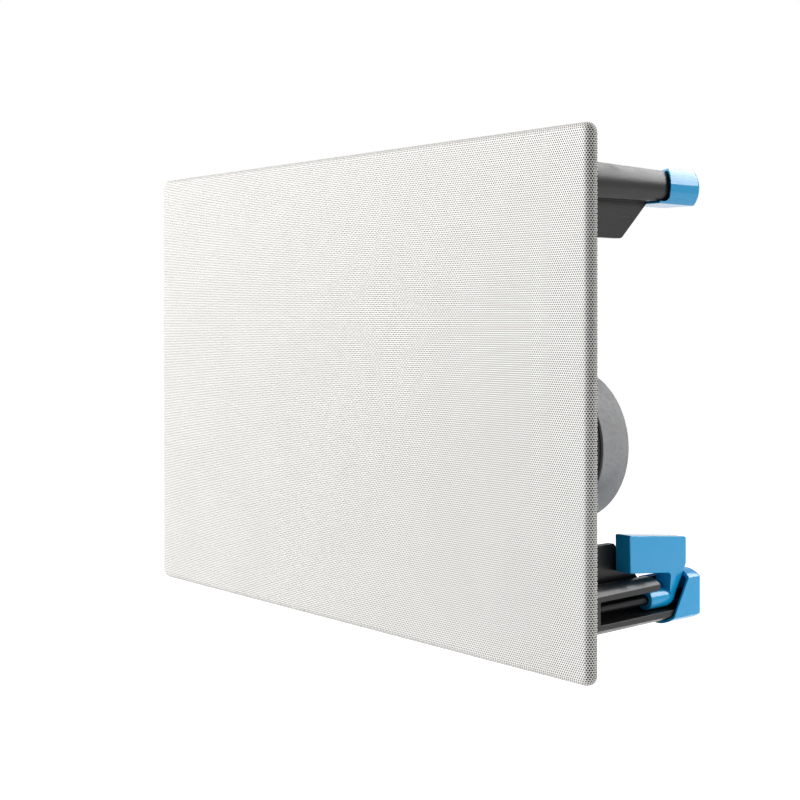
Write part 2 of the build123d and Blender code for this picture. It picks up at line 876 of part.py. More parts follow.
def make_rear_chamber():
    back = tweeter_yoke_back + chamber_depth
    cup = rod(chamber_radius, (tweeter_yoke_back, back), 0, tweeter_z)
    cup = fillet(cup.edges().group_by(Axis.Y)[-1], chamber_wall)
    hollow_span = (tweeter_yoke_back - over, back - chamber_wall)
    return cup - rod(chamber_radius - chamber_wall, hollow_span, 0, tweeter_z)


def make_tweeter_lugs():
    lugs = []
    half = tweeter_lug_width / 2
    sheet = lug_sheet / 2
    span = (tweeter_plate_back, tweeter_plate_back + tweeter_lug_height)
    for x, rise in tweeter_lugs.values():
        z = tweeter_z + rise
        lugs.append(box((x - sheet, x + sheet), span, (z - half, z + half)).solid())
    return Compound(children=lugs)


def make_board():
    x_span = (board_x - board_width / 2, board_x + board_width / 2)
    z_span = (board_z - board_height / 2, board_z + board_height / 2)
    board = box(x_span, (board_front, board_back), z_span)
    for x, z in board_screw_places():
        board -= rod(board_pilot_radius, (board_front - over, board_back + over), x, z)
    return board


def make_board_screws():
    screws = []
    for x, z in board_screw_places():
        head = Rot(180, 0, 0) * pan_head(wood_screw_head_radius, wood_screw_head_height)
        shank = rod(board_screw_radius, (board_back - board_screw_length, board_back), x, z)
        screws.append((Pos(x, board_back, z) * head + shank).solid())
    return Compound(children=screws)


def make_inductor(place, hole_radius, radius, height):
    """Wound ring standing on the board."""
    x, z = board_x + place[0], board_z + place[1]
    coil = ring(hole_radius, radius, (board_back, board_back + height), x, z)
    return fillet(coil.edges().group_by(Axis.Y)[-1], inductor_edge_share * hole_radius)


def make_capacitor(place, radius, length, turn):
    """Can lying on the board."""
    can = Cylinder(radius, length)
    can = fillet(can.edges(), capacitor_edge_share * radius)
    return Pos(board_x + place[0], board_back + slip_gap + radius, board_z + place[1]) * Rot(0, turn, 0) * can


def make_resistor():
    length, depth, height = resistor_size
    x, z = board_x + resistor_place[0], board_z + resistor_place[1]
    return box(
        (x - length / 2, x + length / 2),
        (board_back, board_back + depth),
        (z - height / 2, z + height / 2),
    )


def terminal_places():
    return {
        "red": terminal_x - terminal_spacing / 2,
        "black": terminal_x + terminal_spacing / 2,
    }


def make_terminal_block():
    x_span = (terminal_x - terminal_width / 2, terminal_x + terminal_width / 2)
    z_span = (terminal_z - terminal_height / 2, terminal_z + terminal_height / 2)
    block = box(x_span, (baffle_back, terminal_back), z_span)
    block = fillet(block.edges().group_by(Axis.Y)[-1], terminal_edge_radius)
    half_x = button_width / 2 + free_gap
    half_z = button_height / 2 + free_gap
    button_z = terminal_z + button_rise
    for x in terminal_places().values():
        well = (well_floor, terminal_back + over)
        block -= box((x - half_x, x + half_x), well, (button_z - half_z, button_z + half_z))
        hole_span = (terminal_back - wire_hole_depth, terminal_back + over)
        block -= rod(wire_hole_radius, hole_span, x, terminal_z - wire_hole_drop)
    return block


def make_button(x):
    half_x = button_width / 2
    half_z = button_height / 2
    button_z = terminal_z + button_rise
    button = box(
        (x - half_x, x + half_x), (button_front, button_back), (button_z - half_z, button_z + half_z)
    )
    return fillet(button.edges().group_by(Axis.Y)[-1], terminal_edge_radius)


def make_springs():
    """Bent leaf under each button."""
    springs = []
    leaf_top = button_front - free_gap
    button_z = terminal_z + button_rise
    for x in terminal_places().values():
        points = [
            (x - spring_reach, well_floor),
            (x + spring_reach, well_floor),
            (x + spring_reach, well_floor + spring_sheet),
            (x - spring_reach + 3 * spring_sheet, well_floor + spring_sheet),
            (x + spring_reach - spring_sheet, leaf_top - spring_sheet),
            (x + spring_reach - 2 * spring_sheet, leaf_top),
            (x - spring_reach, well_floor + spring_sheet),
        ]
        leaf = extrude(Plane.XY * make_face(Polyline(*points, close=True)), spring_width)
        springs.append((Pos(0, 0, button_z - spring_width / 2) * leaf).solid())
    return Compound(children=springs)


def make_wire(points):
    """Round wire along straight runs joined by the largest arcs that fit."""
    vectors = [Vector(*point) for point in points]
    runs = [after - before for before, after in zip(vectors, vectors[1:])]
    radii = []
    for before, after in zip(runs, runs[1:]):
        half_turn = math.radians(before.get_angle(after) / 2)
        radii.append(wire_bend_share * min(before.length, after.length) / math.tan(half_turn))
    path = FilletPolyline(*vectors, radius=radii)
    section = Plane(origin=path @ 0, z_dir=path % 0) * Circle(wire_radius)
    return sweep(section, path=path).solid()


def wire_pad(colour, name):
    """A wire's place on the board."""
    across, up = wire_pads[colour][name]
    return board_x + across, board_z + up


def woofer_wire_end(name, colour, lead):
    """A point in front of a woofer's terminal."""
    side = woofers[name]
    angle = math.radians(lug_angles(side)[colour])
    radius = lug_radius + lug_sheet / 2 + lead
    level = shelf_back + wire_lug_share * lug_height
    x = side * woofer_x + radius * math.cos(angle)
    return x, level, woofer_z + radius * math.sin(angle)


def input_route(colour):
    """From the push terminals to the board."""
    x, z = wire_pad(colour, "input")
    exit_x = terminal_x - terminal_width / 2
    exit_z = terminal_z + wire_exits[colour]
    exit_level = board_back + wire_exit_height
    low = board_back + wire_low_height
    lane_z = z + wire_lane_rise
    return [
        (exit_x, exit_level, exit_z),
        (exit_x - wire_exit_run, exit_level, exit_z),
        (exit_x - wire_exit_run - wire_climb_run, low, lane_z),
        (x + wire_lane_end, low, lane_z),
        (x, low, z),
        (x, board_back, z),
    ]


def tweeter_route(colour):
    """From the board to the tweeter's terminal."""
    x, z = wire_pad(colour, "tweeter")
    low = board_back + wire_low_height
    fall_run, fall = wire_tweeter_fall
    return [
        (x, board_back, z),
        (x, low, z),
        (x + wire_tweeter_run, low, z),
        (x + wire_tweeter_run + fall_run, low - fall, z),
        (tweeter_lugs[colour][0] - lug_sheet / 2, low - fall, z),
    ]


def woofer_route(colour, name):
    """From the board to a woofer's terminal."""
    x, z = wire_pad(colour, name)
    vias = wire_right_vias[colour]
    if name == "left":
        across, height, up = wire_left_via
        vias = [(x + across, height, z + up)]
    return [
        (x, board_back, z),
        (x, board_back + wire_high_height, z),
        *[(via_x, board_back + height, via_z) for via_x, height, via_z in vias],
        woofer_wire_end(name, colour, wire_lug_leads[name]),
        woofer_wire_end(name, colour, 0),
    ]


def make_wires(colour):
    """One colour's four wires."""
    routes = [input_route(colour), tweeter_route(colour)]
    routes += [woofer_route(colour, name) for name in woofers]
    return Compound(children=[make_wire(route) for route in routes])


def make_parts():
    parts = {
        "grille": make_grille(),
        "grille_scrim": make_scrim(),
        "grille_magnets": make_holding_magnets(),
        "baffle_frame": make_frame(),
    }
    for name in corners:
        parts["clamp_dogleg_" + name] = at_corner(name, make_dogleg())
        parts["clamp_cap_" + name] = at_corner(name, make_cap())
        parts["clamp_screw_" + name] = at_corner(name, make_clamp_screw())
    for name, side in woofers.items():
        x = side * woofer_x
        plate_span = (basket_back, top_plate_back)
        magnet_span = (top_plate_back, magnet_back)
        parts["woofer_basket_" + name] = make_basket(x)
        parts["woofer_top_plate_" + name] = ring(
            top_plate_hole_radius, basket_rear_radius, plate_span, x, woofer_z
        )
        parts["woofer_magnet_" + name] = ring(magnet_hole_radius, magnet_radius, magnet_span, x, woofer_z)
        parts["woofer_yoke_" + name] = make_yoke(x)
        parts["woofer_voice_coil_" + name] = make_voice_coil(x)
        parts["woofer_cone_" + name] = make_cone(x)
        parts["woofer_dust_cap_" + name] = make_dust_cap(x)
        parts["woofer_surround_" + name] = make_surround(x)
        parts["woofer_spider_" + name] = make_spider(x)
        parts["woofer_terminals_" + name] = make_woofer_lugs(side)
    parts["woofer_screws"] = make_wood_screws(basket_front)
    parts["tweeter_faceplate"] = make_faceplate()
    parts["tweeter_dome"] = make_dome()
    parts["tweeter_voice_coil"] = make_tweeter_coil()
    tweeter_plate_hole = tweeter_coil_radii()[1] + coil_outer_gap
    plate_span = (tweeter_plate_front, tweeter_plate_back)
    parts["tweeter_top_plate"] = ring(tweeter_plate_hole, tweeter_plate_radius, plate_span, 0, tweeter_z)
    magnet_span = (tweeter_plate_back, tweeter_magnet_back)
    parts["tweeter_magnet"] = ring(
        tweeter_magnet_hole_radius, tweeter_magnet_radius, magnet_span, 0, tweeter_z
    )
    parts["tweeter_yoke"] = make_tweeter_yoke()
    parts["tweeter_rear_chamber"] = make_rear_chamber()
    parts["tweeter_terminals"] = make_tweeter_lugs()
    parts["tweeter_screws"] = make_wood_screws(faceplate_front)
    parts["crossover_board"] = make_board()
    parts["board_screws"] = make_board_screws()
    parts["inductor_large"] = make_inductor(
        inductor_large_place, inductor_large_hole, inductor_large_radius, inductor_large_height
    )
    parts["inductor_small"] = make_inductor(
        inductor_small_place, inductor_small_hole, inductor_small_radius, inductor_small_height
    )
    parts["capacitor_large"] = make_capacitor(
        capacitor_large_place, capacitor_large_radius, capacitor_large_length, 90
    )
    parts["capacitor_small"] = make_capacitor(
        capacitor_small_place, capacitor_small_radius, capacitor_small_length, 0
    )
    parts["resistor"] = make_resistor()
    parts["terminal_block"] = make_terminal_block()
    for colour, x in terminal_places().items():
        parts["terminal_button_" + colour] = make_button(x)
    parts["terminal_springs"] = make_springs()
    for colour in tweeter_lugs:
        parts["wires_" + colour] = make_wires(colour)
    return parts


os.makedirs("parts", exist_ok=True)
for node, shape in make_parts().items():
    export_step(shape, f"parts/{node}.step")
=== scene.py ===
import json
import math

import bpy
from bpy.props import FloatProperty, FloatVectorProperty, PointerProperty
from bpy.types import Operator, Panel, PropertyGroup
from mathutils import Matrix, Vector
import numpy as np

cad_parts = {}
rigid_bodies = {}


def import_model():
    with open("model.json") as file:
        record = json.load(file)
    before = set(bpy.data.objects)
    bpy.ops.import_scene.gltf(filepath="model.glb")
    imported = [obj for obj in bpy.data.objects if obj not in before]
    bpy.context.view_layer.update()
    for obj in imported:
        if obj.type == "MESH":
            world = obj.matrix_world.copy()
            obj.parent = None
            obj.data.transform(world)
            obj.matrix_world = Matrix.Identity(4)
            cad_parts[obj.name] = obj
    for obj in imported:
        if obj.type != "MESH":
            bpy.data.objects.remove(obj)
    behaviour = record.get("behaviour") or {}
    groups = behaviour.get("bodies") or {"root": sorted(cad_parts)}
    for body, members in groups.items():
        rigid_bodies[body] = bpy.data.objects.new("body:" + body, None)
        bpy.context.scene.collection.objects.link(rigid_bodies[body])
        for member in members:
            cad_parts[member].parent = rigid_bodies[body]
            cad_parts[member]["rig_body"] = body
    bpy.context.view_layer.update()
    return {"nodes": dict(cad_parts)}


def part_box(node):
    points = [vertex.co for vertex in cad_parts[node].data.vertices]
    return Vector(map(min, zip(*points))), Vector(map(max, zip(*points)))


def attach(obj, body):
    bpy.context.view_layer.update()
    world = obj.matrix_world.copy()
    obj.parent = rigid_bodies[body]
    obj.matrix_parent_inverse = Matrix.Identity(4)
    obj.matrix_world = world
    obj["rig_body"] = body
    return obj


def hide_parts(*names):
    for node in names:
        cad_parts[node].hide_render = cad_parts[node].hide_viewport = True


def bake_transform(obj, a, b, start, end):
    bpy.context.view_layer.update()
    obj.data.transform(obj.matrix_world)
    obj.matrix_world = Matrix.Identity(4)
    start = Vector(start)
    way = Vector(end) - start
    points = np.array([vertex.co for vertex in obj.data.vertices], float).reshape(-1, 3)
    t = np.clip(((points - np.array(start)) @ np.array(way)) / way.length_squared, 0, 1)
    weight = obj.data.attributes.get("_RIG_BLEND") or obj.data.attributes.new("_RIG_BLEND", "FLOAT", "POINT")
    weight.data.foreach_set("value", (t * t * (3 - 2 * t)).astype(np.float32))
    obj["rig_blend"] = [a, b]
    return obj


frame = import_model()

bl_info = {
    "name": "In-wall speaker",
    "version": (1, 0, 0),
    "blender": (4, 5, 0),
    "location": "3D View > Sidebar > Speaker",
    "description": "Models and finishes an in-wall speaker round its CAD frame",
    "category": "Object",
}

nodes = frame["nodes"]
corner_names = ("lower_right", "upper_right", "upper_left", "lower_left")
side_names = ("right", "left")
touching = 1e-6


# Properties


def length(name, words, metres):
    """A size in metres."""
    return FloatProperty(name=name, description=words, default=metres, unit="LENGTH", precision=5)


def tint(name, words, rgb):
    """A linear colour."""
    return FloatVectorProperty(
        name=name, description=words, default=rgb, size=3, subtype="COLOR", min=0.0, max=1.0
    )


def amount(name, words, value):
    """A plain number."""
    return FloatProperty(name=name, description=words, default=value, min=0.0)


class GrilleSizes(PropertyGroup):
    sheet: length("Sheet", "Thickness of the steel sheet", 0.0008)
    bend: length("Bend", "Outer radius of the bend round the front", 0.0036)
    corner: length("Corner", "Radius of the four corners", 0.005)
    pitch: length("Hole pitch", "Distance between holes in a row", 0.00103)
    row: length("Row pitch", "Distance between rows of holes", 0.000886)
    hole: length("Hole", "Diameter of a hole where cloth shows in it", 0.0006)
    open_hole: length("Open hole", "Diameter of a hole in the bend, with nothing behind it", 0.00074)
    scrim: length("Scrim", "Thickness of the cloth behind the sheet", 0.00025)


class DriverSizes(PropertyGroup):
    rubber: length("Surround wall", "Thickness of the rubber surrounds", 0.0006)
    cone_lip: length("Cone lip", "Radius of the cone's lip inside the surround", 0.0454)
    mouth: length("Basket mouth", "Radius of the basket's mouth", 0.0538)
    groove: length("Groove", "Depth of the fine grooves in the surround", 0.00018)
    spider: length("Spider wall", "Thickness of the spiders", 0.0006)
    shelf: length("Spider shelf", "Inner radius of the basket's shelf", 0.032)
    wave: length("Spider wave", "Height of the spiders' corrugations", 0.0012)
    dome: length("Dome", "Radius of the tweeter's dome", 0.0126)
    dome_wall: length("Dome wall", "Thickness of the dome's cloth", 0.0004)
    roll: length("Dome roll", "Width of the roll round the dome", 0.0022)
    leaf: length("Leaf spring", "Thickness of the terminals' leaf springs", 0.0004)


class EdgeSizes(PropertyGroup):
    dogleg: length("Dog-leg edge", "Rounding of the clamp's edges", 0.0005)
    cap: length("Cap edge", "Rounding of the end cap's edges", 0.00025)
    moulding: length("Frame edge", "Rounding that the frame's edges show", 0.0005)
    magnet: length("Magnet edge", "Chamfer of the ring magnets", 0.0006)


class Finishes(PropertyGroup):
    paint: tint("Grille paint", "White paint of the grille", (0.934, 0.918, 0.888))
    # Painted shade: grey standing in for the shaded hole walls and the cloth in shade behind the front
    # holes.
    painted_front_hole_shade: tint("Front hole", "Hole with the cloth behind it", (0.147, 0.143, 0.135))
    # Painted shade: near-black standing in for the shaded frame seen through the holes in the bend.
    painted_side_hole_shade: tint("Side hole", "Hole with the dark frame behind it", (0.008, 0.008, 0.009))
    cloth: tint("Scrim cloth", "Cloth behind the grille", (0.62, 0.62, 0.60))
    moulding: tint("Frame", "Black moulded frame", (0.010, 0.010, 0.0104))
    clamp: tint("Clamps", "Blue moulded clamps and caps", (0.008, 0.400, 0.800))
    ferrite: tint("Ferrite", "Ground ring magnets", (0.345, 0.345, 0.350))
    steel: tint("Plated steel", "Wood screws and holding magnets", (0.60, 0.60, 0.62))
    oxide: tint("Clamp screws", "Black oxide of the clamp screws", (0.020, 0.020, 0.021))
    plate: tint("Plate steel", "Plates and yokes", (0.023, 0.0232, 0.024))
    basket: tint("Basket paint", "Black paint of the baskets", (0.022, 0.022, 0.023))
    cone: tint("Cone", "Moulded cones and dust caps", (0.040, 0.041, 0.044))
    rubber: tint("Surround", "Rubber surrounds", (0.018, 0.018, 0.018))
    spider: tint("Spider cloth", "Varnished cloth of the spiders", (0.42, 0.25, 0.075))
    dome: tint("Dome cloth", "Coated cloth of the tweeter's dome", (0.022, 0.021, 0.024))
    brass: tint("Terminals", "Tinned brass lugs", (0.72, 0.62, 0.40))
    copper: tint("Copper", "Enamelled windings", (0.62, 0.27, 0.10))
    board: tint("Board", "Laminate with solder mask", (0.020, 0.115, 0.045))
    film: tint("Capacitors", "Wrapped film", (0.62, 0.43, 0.06))
    ceramic: tint("Resistor", "Cement body", (0.70, 0.69, 0.65))
    red: tint("Red", "Red button and wires", (0.52, 0.012, 0.010))
    black: tint("Black", "Black button and wires", (0.018, 0.018, 0.018))


class StageSizes(PropertyGroup):
    floor: length("Floor", "Height of the floor", -0.26)
    reach: length("Reach", "Half the floor's width", 6.0)
    paper: tint("Floor paper", "Colour of the pale floor", (0.70, 0.70, 0.70))
    glow: amount("Floor glow", "How far the floor is lifted to white where it is seen", 0.85)
    ambient: amount("Ambient", "Strength of the light from all round", 0.14)
    key_watts: amount("Key lamp", "Power of the large lamp in front", 37.5)
    strip_watts: amount("Strip lamp", "Power of the long lamp behind", 18.0)
    low_watts: amount("Low lamp", "Power of the small lamp under the clamps", 0.28)


# Modelling helpers


def start():
    """Object mode with nothing selected."""
    if bpy.context.mode != "OBJECT":
        bpy.ops.object.mode_set(mode="OBJECT")
    bpy.ops.object.select_all(action="DESELECT")


def added(name):
    """Names the primitive that was just added, with its place put into its mesh."""
    bpy.ops.object.transform_apply(location=True, rotation=True, scale=True)
    obj = bpy.context.active_object
    obj.name = name
    obj.data.name = name
    return obj


def pick(obj, kind, test):
    """Edit mode with only those faces or edges selected that pass a test of their place."""
    bpy.ops.object.mode_set(mode="OBJECT")
    mesh = obj.data
    for group in (mesh.vertices, mesh.edges, mesh.polygons):
        group.foreach_set("select", [False] * len(group))
    if kind == "FACE":
        for face in mesh.polygons:
            face.select = test(face.center, face.normal)
    else:
        for edge in mesh.edges:
            ends = [mesh.vertices[index].co for index in edge.vertices]
            edge.select = test(*ends)
    bpy.context.tool_settings.mesh_select_mode = (False, kind == "EDGE", kind == "FACE")
    bpy.ops.object.mode_set(mode="EDIT")


def apply_modifier(obj, kind, **settings):
    """Adds a modifier, sets it and applies it."""
    bpy.ops.object.mode_set(mode="OBJECT")
    bpy.context.view_layer.objects.active = obj
    modifier = obj.modifiers.new(kind.title(), kind)
    for name, value in settings.items():
        setattr(modifier, name, value)
    bpy.ops.object.modifier_apply(modifier=modifier.name)


def smooth(obj, degrees=35):
    """Smooth shading apart from sharp edges."""
    start()
    obj.select_set(True)
    bpy.context.view_layer.objects.active = obj
    bpy.ops.object.shade_smooth_by_angle(angle=math.radians(degrees))


def dress(obj, material):
    """One material all over."""
    obj.data.materials.clear()
    obj.data.materials.append(material)


def body_of(node):
    """The body that a node is part of."""
    return nodes[node]["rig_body"]


def stand_for(obj, node, material):
    """Finishes a piece that is seen in place of a CAD node."""
    dress(obj, material)
    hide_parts(node)


def place(obj, node, material):
    """Finishes a piece that is seen in place of a CAD node and rides on its body."""
    stand_for(obj, node, material)
    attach(obj, body_of(node))


def copied(node, name):
    """A node's shape as a new piece, with its faces joined."""
    start()
    obj = bpy.data.objects.new(name, nodes[node].data.copy())
    bpy.context.scene.collection.objects.link(obj)
    obj.select_set(True)
    bpy.context.view_layer.objects.active = obj
    bpy.ops.mesh.customdata_custom_splitnormals_clear()
    bpy.ops.object.mode_set(mode="EDIT")
    bpy.ops.mesh.select_all(action="SELECT")
    bpy.ops.mesh.remove_doubles(threshold=touching)
    return obj


def softened(node, name, width, segments=2):
    """A node's shape with its sharp edges rounded, as a mould leaves them."""
    obj = copied(node, name)
    bpy.ops.mesh.dissolve_limited(angle_limit=math.radians(0.5))
    apply_modifier(
        obj,
        "BEVEL",
        width=width,
        segments=segments,
        limit_method="ANGLE",
        angle_limit=math.radians(40),
        use_clamp_overlap=False,
        loop_slide=False,
    )
    smooth(obj)
    apply_modifier(obj, "WEIGHTED_NORMAL", mode="FACE_AREA", weight=100, keep_sharp=True)
    return obj


def turned_shell(name, centre, profile, wall, rings=96, closed=False):
    """A thin turned piece from (radius, y) points of its middle line, drawn out ring by ring."""
    start()
    radius, level = profile[0]
    bpy.ops.mesh.primitive_circle_add(
        vertices=rings, radius=radius, location=(centre.x, level, centre.z), rotation=(math.pi / 2, 0, 0)
    )
    obj = added(name)
    bpy.ops.object.mode_set(mode="EDIT")
    bpy.ops.mesh.select_all(action="SELECT")
    for new_radius, new_level in profile[1:]:
        bpy.ops.mesh.extrude_region_move(TRANSFORM_OT_translate={"value": (0, new_level - level, 0)})
        scale = new_radius / radius
        bpy.ops.transform.resize(value=(scale, 1, scale), center_override=(centre.x, new_level, centre.z))
        radius, level = new_radius, new_level
    if closed:
        bpy.ops.mesh.edge_face_add()
    bpy.ops.mesh.select_all(action="SELECT")
    bpy.ops.mesh.normals_make_consistent(inside=False)
    apply_modifier(obj, "SOLIDIFY", thickness=wall, offset=0.0, use_even_offset=True)
    smooth(obj, 50)
    return obj


def arch(start_radius, end_radius, level, rise, steps):
    """Points of a half roll between two radii, rising towards the front."""
    middle, half = (start_radius + end_radius) / 2, (end_radius - start_radius) / 2
    for index in range(steps + 1):
        angle = math.pi * index / steps
        yield middle - half * math.cos(angle), level - rise * math.sin(angle)


def held(share):
    """A share between nothing and all."""
    return min(1.0, max(0.0, share))


def follow(obj, body, near, far, share_at):
    """The piece bends between the frame and a body, by a share that depends on the place."""
    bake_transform(obj, "frame", body, near, far)
    for vertex, share in zip(obj.data.vertices, obj.data.attributes["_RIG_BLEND"].data):
        share.value = held(share_at(vertex.co))


def follow_cone(obj, side, centre, inner, outer):
    """The piece's inside moves with the cone and its rim stays with the frame."""

    def share_at(at):
        radius = Vector((at.x - centre.x, at.z - centre.z)).length
        part = held((outer - radius) / (outer - inner))
        return part * part * (3 - 2 * part)

    rim, neck = centre + Vector((outer, 0, 0)), centre + Vector((inner, 0, 0))
    follow(obj, "woofer_cone_" + side, rim, neck, share_at)


# Material helpers


class Nodes:
    """A short way to lay out a material's nodes."""

    def __init__(self, name):
        self.material = bpy.data.materials.new(name)
        self.material.use_nodes = True
        self.tree = self.material.node_tree
        self.shader = self.tree.nodes["Principled BSDF"]
        self.coords = self.add("ShaderNodeTexCoord")

    def add(self, kind, **settings):
        node = self.tree.nodes.new(kind)
        for name, value in settings.items():
            setattr(node, name, value)
        return node

    def link(self, source, target):
        self.tree.links.new(source, target)

    def put(self, socket, value):
        """Links a socket to a socket, or sets a plain value on it."""
        if isinstance(value, bpy.types.NodeSocket):
            self.link(value, socket)
        else:
            socket.default_value = value

    def math(self, operation, *values, clamp=False):
        node = self.add("ShaderNodeMath", operation=operation, use_clamp=clamp)
        for socket, value in zip(node.inputs, values):
            self.put(socket, value)
        return node.outputs[0]

    def vector(self, operation, *values):
        node = self.add("ShaderNodeVectorMath", operation=operation)
        for socket, value in zip(node.inputs, values):
            self.put(socket, value)
        return node.outputs["Value"] if operation == "LENGTH" else node.outputs["Vector"]

    def noise(self, scale, stretch=(1, 1, 1), detail=4.0, roughness=0.55):
        """Noise over the object's own coordinates, in lumps per metre."""
        mapping = self.add("ShaderNodeMapping")
        mapping.inputs["Scale"].default_value = stretch
        self.link(self.coords.outputs["Object"], mapping.inputs["Vector"])
        node = self.add("ShaderNodeTexNoise")
        node.inputs["Scale"].default_value = scale
        node.inputs["Detail"].default_value = detail
        node.inputs["Roughness"].default_value = roughness
        self.link(mapping.outputs["Vector"], node.inputs["Vector"])
        return node.outputs["Fac"]

    def span(self, value, low, high, start=0.0, end=1.0):
        """Maps a value from one span to another, held at its ends."""
        node = self.add("ShaderNodeMapRange")
        for socket, number in zip(list(node.inputs)[:5], (value, start, end, low, high)):
            self.put(socket, number)
        return node.outputs["Result"]

    def mix(self, share, first, second):
        """Mixes two colours."""
        node = self.add("ShaderNodeMix", data_type="RGBA")
        self.put(node.inputs["Factor"], share)
        for socket, value in zip((node.inputs[6], node.inputs[7]), (first, second)):
            self.put(socket, value if isinstance(value, bpy.types.NodeSocket) else (*value, 1.0))
        return node.outputs[2]

    def rounded(self, width):
        """The surface's direction, with sharp edges seen as rounded."""
        node = self.add("ShaderNodeBevel", samples=4)
        node.inputs["Radius"].default_value = width
        return node.outputs["Normal"]

    def bump(self, height, depth, strength=1.0, under=None):
        node = self.add("ShaderNodeBump")
        node.inputs["Strength"].default_value = strength
        node.inputs["Distance"].default_value = depth
        self.link(height, node.inputs["Height"])
        if under is not None:
            self.link(under, node.inputs["Normal"])
        return node.outputs["Normal"]

    def set(self, **sockets):
        """Sets the shader's own sockets, with _ for a space in a name."""
        for name, value in sockets.items():
            self.put(self.shader.inputs[name.replace("_", " ")], value)
        return self.material


def shade(rgb, factor):
    """A colour made lighter or darker."""
    return tuple(min(1.0, channel * factor) for channel in rgb)


def moulded(
    name, rgb, roughness, grain=900.0, depth=0.00004, spread=0.1, stretch=(1, 1, 1), edge=0.0, **sockets
):
    """Moulded, painted or cast surface with a fine grain, faint clouds and eased edges."""
    work = Nodes(name)
    under = work.rounded(edge) if edge else None
    fine = work.noise(grain, stretch)
    clouds = work.noise(28.0, detail=2.0)
    blend = work.math("MULTIPLY", fine, clouds)
    colour = work.mix(work.span(blend, 0.0, 1.0, 0.1, 0.5), shade(rgb, 1 - spread), shade(rgb, 1 + spread))
    rough = work.span(clouds, roughness - 0.05, roughness + 0.05, 0.3, 0.7)
    return work.set(
        Base_Color=colour, Roughness=rough, Normal=work.bump(fine, depth, under=under), **sockets
    )


def metal(name, rgb, roughness, stretch=(1, 1, 1), grain=700.0, depth=0.00002):
    """Plated or turned metal with fine marks."""
    work = Nodes(name)
    marks = work.noise(grain, stretch, detail=6.0)
    clouds = work.noise(60.0, detail=3.0)
    colour = work.mix(work.span(clouds, 0.0, 1.0, 0.3, 0.7), shade(rgb, 0.82), shade(rgb, 1.08))
    rough = work.span(marks, roughness - 0.08, roughness + 0.1, 0.3, 0.7)
    return work.set(
        Base_Color=colour, Roughness=rough, Metallic=1.0, Normal=work.bump(marks, depth)
    )


def ground_ferrite(name, rgb):
    """Ground ferrite: matte and cloudy, with dark pits and a few bright chips."""
    work = Nodes(name)
    clouds = work.noise(55.0, detail=3.0)
    pits = work.noise(620.0, detail=7.0, roughness=0.7)
    chips = work.noise(240.0, detail=1.0)
    tone = work.mix(work.span(clouds, 0.0, 1.0, 0.3, 0.7), shade(rgb, 0.86), shade(rgb, 1.12))
    tone = work.mix(work.span(pits, 0.0, 0.35, 0.5, 0.68), tone, shade(rgb, 0.55))
    colour = work.mix(work.span(chips, 0.0, 0.8, 0.77, 0.8), tone, shade(rgb, 2.4))
    return work.set(
        Base_Color=colour, Roughness=work.span(pits, 0.5, 0.8, 0.3, 0.7), Normal=work.bump(pits, 0.0001)
    )


def wound(name, rgb, pitch, axis=(0, 1, 0)):
    """Enamelled wire laid in turns along an axis, with painted shade in the grooves between turns."""
    work = Nodes(name)
    along = work.add("ShaderNodeVectorMath", operation="DOT_PRODUCT")
    work.link(work.coords.outputs["Object"], along.inputs[0])
    along.inputs[1].default_value = axis
    turn = work.math("MULTIPLY", along.outputs["Value"], math.pi / pitch)
    crown = work.math("ABSOLUTE", work.math("SINE", turn))
    clouds = work.noise(90.0)
    tone = work.mix(work.span(clouds, 0.0, 1.0, 0.3, 0.7), shade(rgb, 0.7), shade(rgb, 1.15))
    # Painted shade: darker towards the grooves between turns, down to 0.15 of the wire's colour.
    colour = work.mix(work.span(crown, 0.0, 1.0, 0.05, 0.5), shade(rgb, 0.15), tone)
    return work.set(
        Base_Color=colour, Roughness=work.span(clouds, 0.24, 0.38, 0.3, 0.7), Metallic=0.7,
        Normal=work.bump(crown, pitch / 3),
    )


def woven(name, rgb, pitch, roughness=0.85, sheen=0.2, plane=("X", "Z")):
    """Plain weave in the object's own coordinates, with painted shade in the gaps between threads."""
    work = Nodes(name)
    split = work.add("ShaderNodeSeparateXYZ")
    work.link(work.coords.outputs["Object"], split.inputs["Vector"])
    waves = [
        work.math("SINE", work.math("MULTIPLY", split.outputs[axis], math.pi / pitch)) for axis in plane
    ]
    weave = work.math("MULTIPLY", *waves)
    clouds = work.noise(50.0)
    height = work.span(weave, 0.0, 1.0, -1.0, 1.0)
    tone = work.mix(work.span(clouds, 0.0, 1.0, 0.3, 0.7), shade(rgb, 0.85), shade(rgb, 1.1))
    # Painted shade: half as bright along the gaps where the threads meet.
    colour = work.mix(work.span(work.math("ABSOLUTE", weave), 0.0, 1.0, 0.0, 0.6), shade(rgb, 0.5), tone)
    return work.set(
        Base_Color=colour, Roughness=roughness, Sheen_Weight=sheen, Normal=work.bump(height, pitch / 4)
    )


# Grille


def grille_spans(sizes):
    """Half width and height of the flat front, and its corner radius."""
    low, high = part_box("grille")
    return high.x - sizes.bend, high.z - sizes.bend, sizes.corner - sizes.bend


def developed(place_on_sheet, front, sizes):
    """Where a point of the bent sheet lay before the bend, so that the holes run on round it."""
    half_x, half_z, radius = grille_spans(sizes)
    depth = place_on_sheet.y - front
    middle = sizes.bend - sizes.sheet / 2
    if depth < sizes.bend:
        run = middle * math.acos(max(-1.0, 1.0 - depth / sizes.bend))
    else:
        run = middle * math.pi / 2 + depth - sizes.bend
    x, z = abs(place_on_sheet.x), abs(place_on_sheet.z)
    past = Vector((x - half_x + radius, z - half_z + radius))
    if past.x > 0 and past.y > 0 and past.length > radius - touching:
        past = past.normalized() * (radius + run)
        x, z = half_x - radius + past.x, half_z - radius + past.y
    elif x > half_x - touching:
        x = half_x + run
    elif z > half_z - touching:
        z = half_z + run
    return math.copysign(x, place_on_sheet.x), math.copysign(z, place_on_sheet.z)


